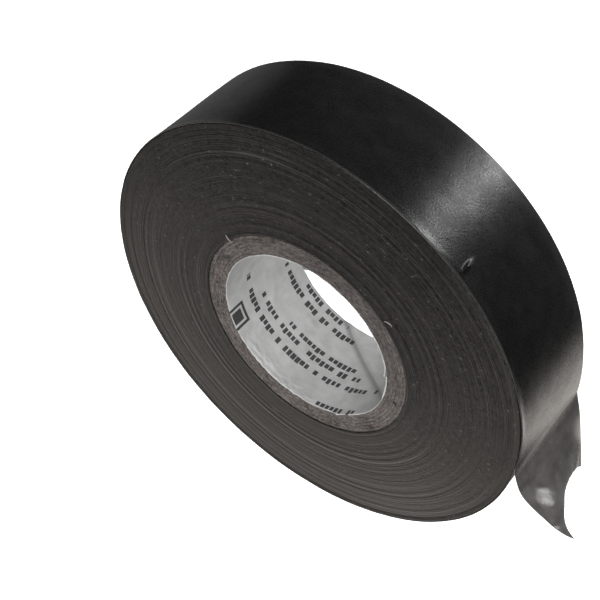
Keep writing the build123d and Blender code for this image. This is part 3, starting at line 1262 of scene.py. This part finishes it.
# The outline of the floor and the wall it turns up into, from the middle: how far out, how high
COVE = [(0.0, 0.0), (1.4, 0.0), (1.9, 0.1), (2.3, 0.45), (2.5, 1.3)]
COVE_SIDES = 64
FLOOR_GLOW = 0.9


def floor():
    """A plain pale floor that turns up into a wall far away. It is only a stand-in: it
    neither shades the roll nor shows in it, so the lights below it reach the roll."""
    angle = np.linspace(0, 360, COVE_SIDES, endpoint=False)
    radius, height = np.array(COVE).T[:, :, None]
    points = polar(radius, angle, height - CLEARANCE)
    faces = grid_faces(*points.shape[:2], close_columns=True)
    plane = build("floor", [{"points": points, "faces": faces}], merge=10 * MERGE)
    material = Graph("pale_floor").surface(
        Base_Color=(0.8, 0.8, 0.8),
        Roughness=0.9,
        Emission_Color=WHITE,
        Emission_Strength=FLOOR_GLOW,
    )
    plane.data.materials.append(material)
    plane.visible_diffuse = False
    plane.visible_glossy = False
    plane.visible_shadow = False


def direction(azimuth, elevation):
    """A unit vector from azimuth, measured from +X, and elevation."""
    a, e = math.radians(azimuth), math.radians(elevation)
    return Vector((math.cos(a) * math.cos(e), math.sin(a) * math.cos(e), math.sin(e)))


def softbox(
    name, azimuth, elevation, distance, width, height, radiance, colour, shape="RECTANGLE"
):
    """A flat soft light that faces the roll. Its power gives it the radiance asked for."""
    lamp = bpy.data.lights.new(name, "AREA")
    lamp.color = colour
    lamp.shape = shape
    lamp.size = width
    lamp.size_y = height
    area = width * height * (math.pi / 4 if shape == "ELLIPSE" else 1.0)
    lamp.energy = radiance * math.pi * area
    light = bpy.data.objects.new(name, lamp)
    towards = direction(azimuth, elevation)
    light.location = Vector((0, 0, TAPE_WIDTH / 2)) + towards * distance
    light.rotation_euler = towards.to_track_quat("Z", "Y").to_euler()
    light.visible_camera = False
    bpy.context.scene.collection.objects.link(light)


# The room's brightness: a dim band that the tape's side mirrors, paler above and below it.
# Each fade gives the heights, as the sine of the elevation, where it starts and is complete.
ROOM_BAND = 0.022
ROOM_FADES = [
    {"level": 0.06, "start": -0.1, "complete": 0.4},
    {"level": 0.7, "start": -0.70, "complete": -0.82},
]


def studio_world():
    """The room: a dim band round the roll, so the tape's side stays black, paler elsewhere."""
    g = Graph("studio", "worlds", "Background")
    towards = g.nodes.new("ShaderNodeTexCoord").outputs["Generated"]
    height = g.add("ShaderNodeSeparateXYZ", Vector=towards).outputs["Z"]
    levels = [
        g.ramp(height, fade["start"], fade["complete"], ROOM_BAND, fade["level"], "SMOOTHSTEP")
        for fade in ROOM_FADES
    ]
    bpy.context.scene.world = g.surface(Color=WHITE, Strength=g.math("MAXIMUM", *levels))


# Softboxes: name, azimuth and elevation in degrees, distance, width and height in metres,
# radiance and colour. Those with a negative elevation shine up from below the table.
# The roll's side mirrors the room down there: the key is its bright patch, and the side and
# left boxes its paler ends. The rear boxes light the upper face, the top box the tail, and the
# bore box the liner. The strips are upright highlights on the side when seen from low down.
SOFTBOXES = [
    ("key_softbox", 58.5, -44.0, 0.45, 0.085, 0.085, 15.5, WHITE, "ELLIPSE"),
    ("side_softbox", -59.0, -25.0, 0.80, 0.40, 0.55, 1.35, WARM),
    ("left_softbox", -160.0, -30.0, 0.80, 0.70, 0.36, 0.16, WHITE),
    ("rear_softbox", -110.0, 10.0, 0.90, 0.80, 0.50, 1.30, WARMER),
    ("rear_fill", -90.0, 14.0, 0.90, 0.38, 0.46, 1.10, WARMER),
    ("top_softbox", 75.0, 58.0, 0.90, 0.60, 0.60, 7.6, WHITE),
    ("bore_softbox", -12.0, 50.0, 0.90, 0.50, 0.50, 3.6, WHITE),
    ("front_strip", 100.0, -2.0, 0.90, 0.30, 0.30, 3.4, WHITE),
    ("back_strip", -135.0, -4.0, 0.90, 0.30, 0.30, 3.8, WHITE),
]


# The camera, solved so that the outlines of the roll and its core agree with the photo
CAMERA_PLACE = Vector((64.9, 143.2, 116.7)) * MM
CAMERA_AZIMUTH = 153.9
CAMERA_ELEVATION = 33.1
CAMERA_ROLL = -134.2
CAMERA_LENS = 69.0
CAMERA_SENSOR = 36.0
CAMERA_NEAREST = 0.005
CAMERA_FARTHEST = 20.0


def camera():
    """The camera: azimuth 0 looks along +Y, and roll turns it about its own line of sight."""
    a, e = math.radians(CAMERA_AZIMUTH), math.radians(CAMERA_ELEVATION)
    back = Vector((math.sin(a) * math.cos(e), -math.cos(a) * math.cos(e), math.sin(e)))
    level = back.to_track_quat("Z", "Y").to_matrix()
    turned = level @ Matrix.Rotation(math.radians(CAMERA_ROLL), 3, "Z")
    data = bpy.data.cameras.new("camera")
    data.lens = CAMERA_LENS
    data.sensor_width = CAMERA_SENSOR
    data.clip_start = CAMERA_NEAREST
    data.clip_end = CAMERA_FARTHEST
    eye = bpy.data.objects.new("camera", data)
    eye.location = CAMERA_PLACE
    eye.rotation_euler = turned.to_euler()
    bpy.context.scene.collection.objects.link(eye)
    bpy.context.scene.camera = eye


floor()
studio_world()
for box in SOFTBOXES:
    softbox(*box)
camera()
bpy.context.scene.view_settings.view_transform = "Standard"
